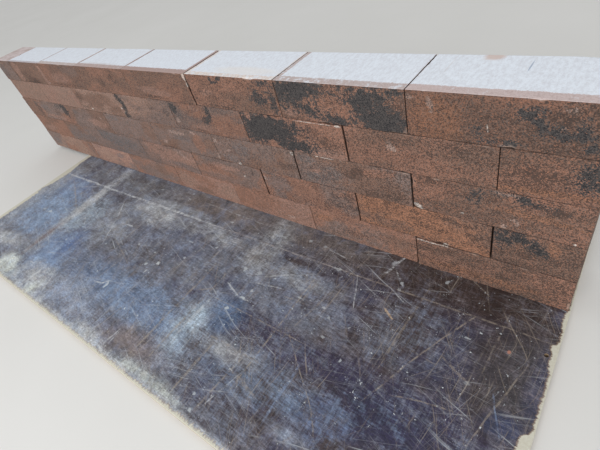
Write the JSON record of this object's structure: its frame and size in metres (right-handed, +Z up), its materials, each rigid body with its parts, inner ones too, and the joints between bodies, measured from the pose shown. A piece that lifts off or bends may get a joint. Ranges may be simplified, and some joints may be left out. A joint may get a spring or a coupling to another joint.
{
  "type": "pallet of wall blocks",
  "caption": "Concrete wall blocks laid dry in running bond, one block deep, on a flat film-faced plywood board that carries them.",
  "frame": {"origin": "under the middle of the whole, on the ground that the board lies on", "axes": "+X along the wall, to the right as its fair face is seen; +Y from the fair face to the back; +Z up"},
  "size_m": [2.9495, 1.3146, 0.588],
  "materials": {
    "block_concrete": "matte",
    "board_film": "satin"
  },
  "bodies": {
    "root": {"board": "board_film", "course_1_block_1": "block_concrete", "course_1_block_2": "block_concrete", "course_1_block_3": "block_concrete", "course_1_block_4": "block_concrete", "course_1_block_5": "block_concrete", "course_1_block_6": "block_concrete", "course_1_block_7": "block_concrete", "course_1_half_block": "block_concrete", "course_2_block_1": "block_concrete", "course_2_block_2": "block_concrete", "course_2_block_3": "block_concrete", "course_2_block_4": "block_concrete", "course_2_block_5": "block_concrete", "course_2_block_6": "block_concrete", "course_2_block_7": "block_concrete", "course_2_half_block": "block_concrete", "course_3_block_1": "block_concrete", "course_3_block_2": "block_concrete", "course_3_block_3": "block_concrete", "course_3_block_4": "block_concrete", "course_3_block_5": "block_concrete", "course_3_block_6": "block_concrete", "course_3_block_7": "block_concrete", "course_3_half_block": "block_concrete", "course_4_block_1": "block_concrete", "course_4_block_2": "block_concrete", "course_4_block_3": "block_concrete", "course_4_block_4": "block_concrete", "course_4_block_5": "block_concrete", "course_4_block_6": "block_concrete", "course_4_block_7": "block_concrete", "course_4_half_block": "block_concrete", "course_5_block_1": "block_concrete", "course_5_block_2": "block_concrete", "course_5_block_3": "block_concrete", "course_5_block_4": "block_concrete", "course_5_block_5": "block_concrete", "course_5_block_6": "block_concrete", "course_5_block_7": "block_concrete", "course_5_half_block": "block_concrete"}
  },
  "joints": []
}
